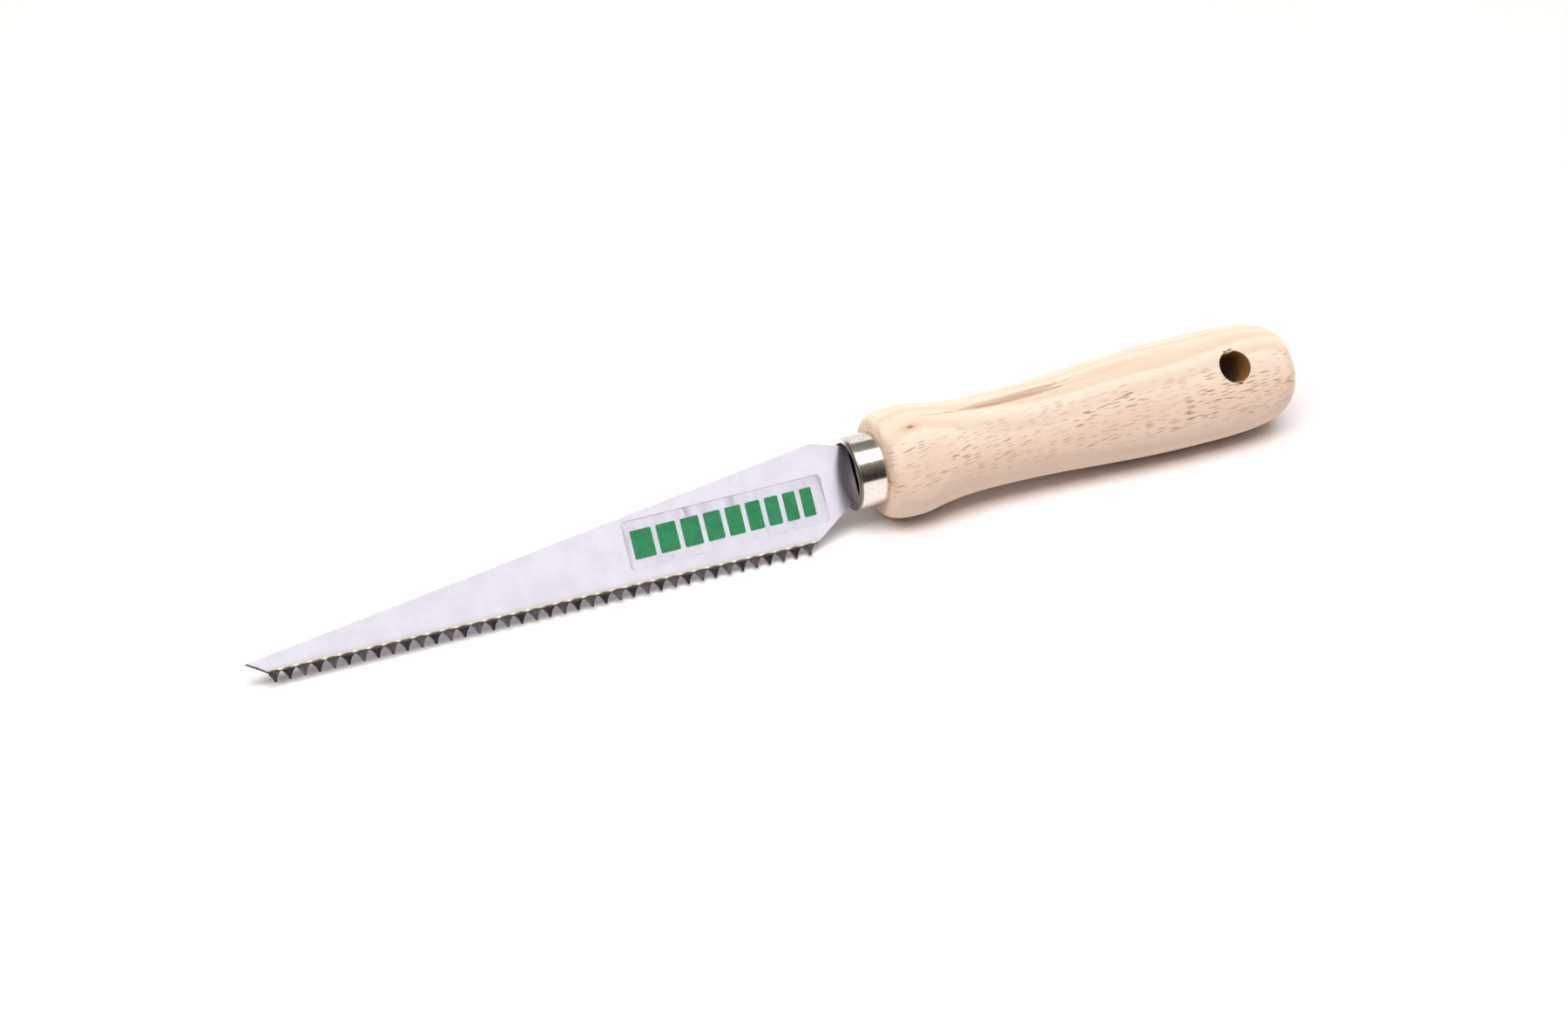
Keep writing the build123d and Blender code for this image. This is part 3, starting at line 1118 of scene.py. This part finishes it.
@dataclass
class Blade:
    """The stamped blade: plate, tang and 39 alternately set teeth."""

    UV_NAME = "grind"

    thickness: float = 1.1
    pitch: float = INCH / 7
    tooth_count: int = 39
    tooth_height: float = 2.4
    tooth_tip: float = 0.45
    tooth_base: float = 3.3
    tooth_set: float = 0.30
    tooth_slope: float = 0.016
    heel_tooth_x: float = -14.5
    heel_tooth_depth: float = 17.55
    elbow: Point = (0.37, 0.42)
    tooth_steps: int = 7
    point: Point = (-158.7, -9.5)
    spine_shoulder: Point = (-7.6, 9.8)
    spine_corner: float = 2.6
    tip_cut_end_x: float = -153.6
    heel_corner_x: float = -12.2
    neck: Point = (-0.9, 7.7)
    tang_shoulder_x: float = 7.0
    tang_taper_x: float = 15.0
    tang_half_width: float = 4.5
    tang_end_x: float = 47.0
    tang_chamfer: float = 2.5
    pin_x: float = 5.3
    pin_hole_radius: float = 1.23
    edge_ease: float = 0.05

    def root_y(self, x: float) -> float:
        """Height of the line through the tooth roots."""
        return -self.heel_tooth_depth + self.tooth_slope * (self.heel_tooth_x - x) + self.tooth_height

    def roots(self) -> list[Vector]:
        """Middles of the teeth on the root line, the heel's first."""
        step = self.pitch * math.cos(math.atan(self.tooth_slope))
        places = [self.heel_tooth_x - index * step for index in range(self.tooth_count)]
        return [Vector((x, self.root_y(x), 0)) for x in places]

    def plate(self) -> Piece:
        """The flat plate with its tang, cut from a strip."""
        half = self.thickness / 2
        plate = Bench.block("toothed_blade", (self.point[0] - 5, -20, -half), (self.neck[0], 15, half))
        Bench.mode("EDIT")
        root = (self.tip_cut_end_x, self.root_y(self.tip_cut_end_x))
        heel = (self.heel_corner_x, self.root_y(self.heel_corner_x))
        neck_x, neck_y = self.neck
        # Round the outline clockwise, with the waste always on the left.
        for start, end in (
            (self.point, self.spine_shoulder),
            (self.spine_shoulder, (neck_x, neck_y)),
            ((neck_x, -neck_y), heel),
            (heel, root),
            (root, self.point),
        ):
            normal = (start[1] - end[1], end[0] - start[0], 0)
            Bench.slice((*start, 0), normal, trim=True, fill=True)
        self.round_shoulder(plate)
        Bench.select(plate, "FACE", lambda f: f.normal.x > 0.99)
        chamfer_x = self.tang_end_x - self.tang_chamfer
        last_x = neck_x
        for x, grow in (
            (self.tang_shoulder_x, 1.0),
            (self.tang_taper_x, self.tang_half_width / neck_y),
            (chamfer_x, 1.0),
            (self.tang_end_x, 1 - self.tang_chamfer / self.tang_half_width),
        ):
            Bench.draw_out((x - last_x, 0, 0), (1, grow, 1))
            last_x = x
        return plate

    def round_shoulder(self, plate: Piece) -> None:
        """Rounds the spine's corner next to the ferrule."""
        corner = Vector(self.spine_shoulder) * MM
        found = Bench.select(
            plate, "EDGE", lambda e: all((v.co.xy - corner).length < 0.01 * MM for v in e.verts)
        )
        assert found == 1, found
        rise_in = math.atan2(self.spine_shoulder[1] - self.point[1], self.spine_shoulder[0] - self.point[0])
        rise_out = math.atan2(self.neck[1] - self.spine_shoulder[1], self.neck[0] - self.spine_shoulder[0])
        reach = self.spine_corner * math.tan((rise_in - rise_out) / 2)
        bpy.ops.mesh.bevel(offset=reach * MM, segments=6, affect="EDGES")

    def flank(self) -> list[Point]:
        """Half widths of a tooth at depths below its root, along a concave arc."""
        half_base, half_tip = self.tooth_base / 2, self.tooth_tip / 2
        middle = (half_tip + self.elbow[0] * (half_base - half_tip), -self.elbow[1] * self.tooth_height)
        a, b, c = Vector((half_base, 0)), Vector(middle), Vector((half_tip, -self.tooth_height))
        slant = 2 * (a.x * (b.y - c.y) + b.x * (c.y - a.y) + c.x * (a.y - b.y))
        squares = [p.length_squared for p in (a, b, c)]
        centre_x = squares[0] * (b.y - c.y) + squares[1] * (c.y - a.y) + squares[2] * (a.y - b.y)
        centre_y = squares[0] * (c.x - b.x) + squares[1] * (a.x - c.x) + squares[2] * (b.x - a.x)
        centre = Vector((centre_x / slant, centre_y / slant))
        radius = (a - centre).length
        first = math.atan2(a.y - centre.y, a.x - centre.x)
        last = math.atan2(c.y - centre.y, c.x - centre.x)
        turn = (last - first + math.pi) % (2 * math.pi) - math.pi
        angles = [first + turn * step / self.tooth_steps for step in range(1, self.tooth_steps + 1)]
        return [(centre.x + radius * math.cos(a), centre.y + radius * math.sin(a)) for a in angles]

    def tooth(self, side: int) -> Piece:
        """One tooth below the origin, open at its root, with its tip set to a side."""
        half, width = self.thickness / 2, self.tooth_base / 2
        tooth = Bench.block("tooth", (-width, -0.01, -half), (width, 0, half))
        Bench.mode("EDIT")
        Bench.select(tooth, "FACE", lambda f: f.normal.y < 0.9)
        bpy.ops.mesh.delete(type="FACE")
        Bench.select(tooth, "FACE", lambda f: True)
        last_y = 0.0
        for half_width, y in self.flank():
            lean = side * self.tooth_set * (last_y - y) / self.tooth_height
            Bench.draw_out((0, y - last_y, lean), (half_width / width, 1, 1))
            width, last_y = half_width, y
        Bench.select(tooth, "FACE", lambda f: all(abs(v.co.y) < 1e-7 for v in f.verts))
        bpy.ops.mesh.delete(type="FACE")
        Bench.mode("OBJECT")
        return tooth

    def tooth_row(self) -> list[Piece]:
        """All teeth in place, set to alternate sides, the foremost trimmed with the blade's tip."""
        masters = (self.tooth(1), self.tooth(-1))
        lean = Matrix.Rotation(-math.atan(self.tooth_slope), 4, "Z")
        row = []
        for index, root in enumerate(self.roots()):
            row.append(Bench.copy(masters[index % 2]))
            Bench.place(row[-1], Matrix.Translation(root * MM) @ lean)
        for master in masters:
            bpy.data.objects.remove(master, do_unlink=True)
        Bench.pick(row[-1])
        Bench.mode("EDIT")
        Bench.slice((self.tip_cut_end_x, 0, 0), (-1, 0, 0), trim=True)
        Bench.mode("OBJECT")
        return row

    def open_roots(self, plate: Piece) -> None:
        """Opens the plate's lower edge where the teeth join it."""
        lean = math.atan(self.tooth_slope)
        along = Vector((math.cos(lean), -math.sin(lean), 0))
        half = self.tooth_base / 2
        roots = self.roots()
        for root in roots:
            for side in (1, -1):
                place = root + along * (side * half)
                if place.x > self.tip_cut_end_x:
                    Bench.slice(place, along)

        def under_tooth(face: bmesh.types.BMFace) -> bool:
            """Whether the face lies on the lower edge between the ends of a tooth."""
            middle = face.calc_center_median() / MM
            if face.normal.y > -0.9 or abs(middle.y - self.root_y(middle.x)) > 0.05:
                return False
            return any(abs(middle.x - root.x) < half + 0.02 for root in roots)

        log.info("blade: %d roots opened", Bench.select(plate, "FACE", under_tooth))
        bpy.ops.mesh.delete(type="ONLY_FACE")
        Bench.mode("OBJECT")

    def lay_grind(self, blade: Piece) -> None:
        """Gives the blade a UV map whose U runs across the grinding lines."""
        layer = blade.data.uv_layers.new(name=self.UV_NAME)
        for loop in blade.data.loops:
            place = blade.data.vertices[loop.vertex_index].co
            layer.data[loop.index].uv = (place.y * 10 + place.z * 0.7, place.x * 10 + place.z * 0.3)

    def build(self, pose: RestPose, effects: Effects, finish: BladeFinish) -> None:
        """Cuts, teeths, pierces and dresses the blade."""
        plate = self.plate()
        self.open_roots(plate)
        blade = Bench.join([plate, *self.tooth_row()])
        Bench.clean(blade, 0.004)
        Bench.mode("EDIT")
        Bench.select(blade, "EDGE", lambda e: e.is_boundary)
        bpy.ops.mesh.fill()
        log.info("blade: %d open edges", Bench.select(blade, "EDGE", lambda e: not e.is_manifold))
        Bench.mode("OBJECT")
        Bench.cut(blade, Bench.rod("pin_cutter", self.pin_x, self.pin_hole_radius, 10.0, 40))
        Bench.ease_edges(blade, self.edge_ease, 50.0)
        Bench.clean(blade, 0.001)
        self.lay_grind(blade)
        Bench.smooth(blade)
        hand_over(blade, finish.make(pose, effects, self), pose, Slot.BLADE, "blade")


@dataclass
class Label:
    """A clear film label on the blade, with a row of green bars printed on it."""

    front_x: float = -60.8
    rear_x: float = -7.2
    top_y: float = 1.9
    bottom_y: float = -10.5
    base_z: float = 0.55
    thickness: float = 0.10
    corner: float = 0.9
    print_x: Point = (-59.1, -10.4)
    print_y: Point = (-7.95, -0.75)
    bar_count: int = 9
    bar_gap: float = 1.35
    bar_shrink: float = 0.93
    bar_corner: float = 0.3
    ink_thickness: float = 0.02
    ink_sink: float = 0.002

    def film(self) -> Piece:
        """The film with its rounded corners."""
        low = (self.front_x, self.bottom_y, self.base_z)
        high = (self.rear_x, self.top_y, self.base_z + self.thickness)
        film = Bench.block("label_film", low, high)
        Bench.mode("EDIT")
        Bench.round_uprights(film, self.corner, 6)
        Bench.clean(film)
        Bench.ease_edges(film, 0.02, 60.0)
        Bench.smooth(film)
        return film

    def bars(self) -> Piece:
        """The printed bars, each a little narrower than the one before it."""
        floor = self.base_z + self.thickness - self.ink_sink
        (x, last_x), (bottom, top) = self.print_x, self.print_y
        shares = [self.bar_shrink**index for index in range(self.bar_count)]
        room = last_x - x - self.bar_gap * (self.bar_count - 1)
        bar = Bench.block("label_print", (0, 0, floor), (1, top - bottom, floor + self.ink_thickness))
        row = []
        for width in [room * share / sum(shares) for share in shares]:
            row.append(Bench.copy(bar))
            Bench.mode("EDIT")
            Bench.select(row[-1], "VERT", lambda v: v.co.x > 0.5 * MM)
            bpy.ops.transform.translate(value=((width - 1) * MM, 0, 0))
            Bench.round_uprights(row[-1], self.bar_corner, 3)
            Bench.mode("OBJECT")
            Bench.place(row[-1], Matrix.Translation((x * MM, bottom * MM, 0)))
            x += width + self.bar_gap
        bpy.data.objects.remove(bar, do_unlink=True)
        marks = Bench.join(row)
        marks.name = marks.data.name = "label_print"
        Bench.clean(marks, 0.001)
        Bench.smooth(marks)
        return marks

    def build(self, pose: RestPose, effects: Effects, finish: FilmFinish, ink: PrintFinish) -> None:
        """Cuts, prints and dresses the label."""
        hand_over(self.film(), finish.make(pose, effects, self), pose, Slot.FILM, "label")
        hand_over(self.bars(), ink.make(pose, effects), pose, Slot.FILM)


def dress_pin(nodes: dict, pose: RestPose, effects: Effects, finish: PinFinish) -> None:
    """Gives the CAD's tang pin its drawn-steel finish."""
    pin = nodes["tang_pin"]
    pin.data.materials.clear()
    pin.data.materials.append(finish.make(pose, effects))
    log.info("tang_pin: CAD node kept, %d faces", len(pin.data.polygons))


# ---------------------------------------------------------------------------------------- studio
@dataclass
class Studio:
    """Pale floor, soft lights and the camera."""

    floor_size: float = 8.0
    floor_colour: Colour = (0.875, 0.855, 0.86)
    camera_azimuth: float = -22.594
    camera_elevation: float = 36.249
    camera_roll: float = -0.088
    camera_distance: float = 0.772975
    camera_target: tuple[float, float, float] = (0.003098, 0.011254, 0.0)
    focal_length: float = 68.655
    sensor: float = 36.0

    def floor(self) -> None:
        """A wide floor with a faint unevenness in its finish."""
        Bench.pick()
        bpy.ops.mesh.primitive_grid_add(x_subdivisions=8, y_subdivisions=8, size=self.floor_size)
        floor = Bench.named("floor")
        coat = Coat("matt_floor", {"Roughness": 0.9, "Specular IOR Level": 0.1})
        inputs = {"Vector": coat.add("TexCoord").outputs["Object"], "Scale": 9.0, "Detail": 2.0}
        cloud = coat.add("TexNoise", inputs).outputs[0]
        other = [c * 0.985 for c in self.floor_colour]
        colour = coat.mix(coat.step(cloud, 0.4, 0.6), self.floor_colour, other)
        floor.data.materials.append(coat.settle(Base_Color=colour))

    @staticmethod
    def soft_light(
        name: str, place: Sequence[float], aim: Sequence[float], size: Point, power: float, colour: Colour
    ) -> None:
        """A rectangular soft light that the camera doesn't see.

        Args:
            name: Name of the light.
            place: Its middle, in metres.
            aim: The point it shines at.
            size: Its width and height, in metres.
            power: Its power in watts.
            colour: Its colour.
        """
        Bench.pick()
        bpy.ops.object.light_add(type="AREA", location=place)
        lamp = bpy.context.object
        lamp.name = name
        lamp.data.shape = "RECTANGLE"
        lamp.data.size, lamp.data.size_y = size
        lamp.data.energy = power
        lamp.data.color = colour
        lamp.rotation_euler = (Vector(place) - Vector(aim)).to_track_quat("Z", "Y").to_euler()
        lamp.visible_camera = False

    def lights(self) -> None:
        """A key softbox in front and above, a tall reflector behind, and a dim room with a paler ceiling."""
        self.soft_light(
            "key_softbox", (-0.25, -0.29, 1.25), (-0.25, -0.05, 0), (2.0, 0.76), 27.5, (1.0, 0.985, 0.97)
        )
        self.soft_light("rear_reflector", (0, 1.5, 0.75), (0, 0, 0.75), (3.6, 1.48), 16.0, (1.0, 0.965, 0.97))
        world = bpy.data.worlds.new("dim_room")
        bpy.context.scene.world = world
        world.use_nodes = True
        background = world.node_tree.nodes["Background"]
        recipe = Recipe(world.node_tree)
        height = recipe.axes(recipe.add("TexCoord").outputs["Generated"])[2]
        recipe.plug(background.inputs["Color"], (1.0, 0.88, 0.74))
        recipe.plug(background.inputs["Strength"], recipe.step(height, 0.2, 1.0, 0.03, 0.28))

    def camera(self) -> None:
        """The camera, looking down on the saw from the blade's side."""
        Bench.pick()
        azimuth, elevation = math.radians(self.camera_azimuth), math.radians(self.camera_elevation)
        level = math.cos(elevation)
        back = Vector((math.sin(azimuth) * level, -math.cos(azimuth) * level, math.sin(elevation)))
        right = Vector((math.cos(azimuth), math.sin(azimuth), 0))
        up = back.cross(right)
        roll = math.radians(self.camera_roll)
        turned_right = right * math.cos(roll) + up * math.sin(roll)
        turned_up = up * math.cos(roll) - right * math.sin(roll)
        place = Vector(self.camera_target) + back * self.camera_distance
        bpy.ops.object.camera_add(location=place)
        camera = bpy.context.object
        camera.name = "camera"
        columns = Matrix((turned_right, turned_up, back)).transposed()
        camera.matrix_world = Matrix.Translation(place) @ columns.to_4x4()
        camera.data.lens = self.focal_length
        camera.data.sensor_fit = "HORIZONTAL"
        camera.data.sensor_width = self.sensor
        camera.data.clip_start = 0.01
        camera.data.clip_end = 20.0
        camera.data.dof.use_dof = False
        bpy.context.scene.camera = camera

    def build(self) -> None:
        """Sets the whole studio up."""
        self.floor()
        self.lights()
        self.camera()
        bpy.context.scene.view_settings.view_transform = "Standard"


def main() -> None:
    """Builds the saw piece by piece, then the studio."""
    logging.basicConfig(level=logging.INFO, format="%(name)s: %(message)s")
    effects = Effects()
    handle = Handle()
    rise = handle.rear_crest[1] - handle.front_crest[1]
    pitch = math.atan(rise / (handle.rear_crest[0] - handle.front_crest[0]))
    pose = RestPose.from_mount(frame["record"], handle.hole.x, handle.hole.tilt, pitch)
    handle.build(pose, effects, BeechFinish())
    Ferrule().build(pose, effects, NickelFinish())
    Blade().build(pose, effects, BladeFinish())
    Label().build(pose, effects, FilmFinish(), PrintFinish())
    dress_pin(frame["nodes"], pose, effects, PinFinish())
    Studio().build()
    Bench.pick()


if __name__ == "__main__":
    main()
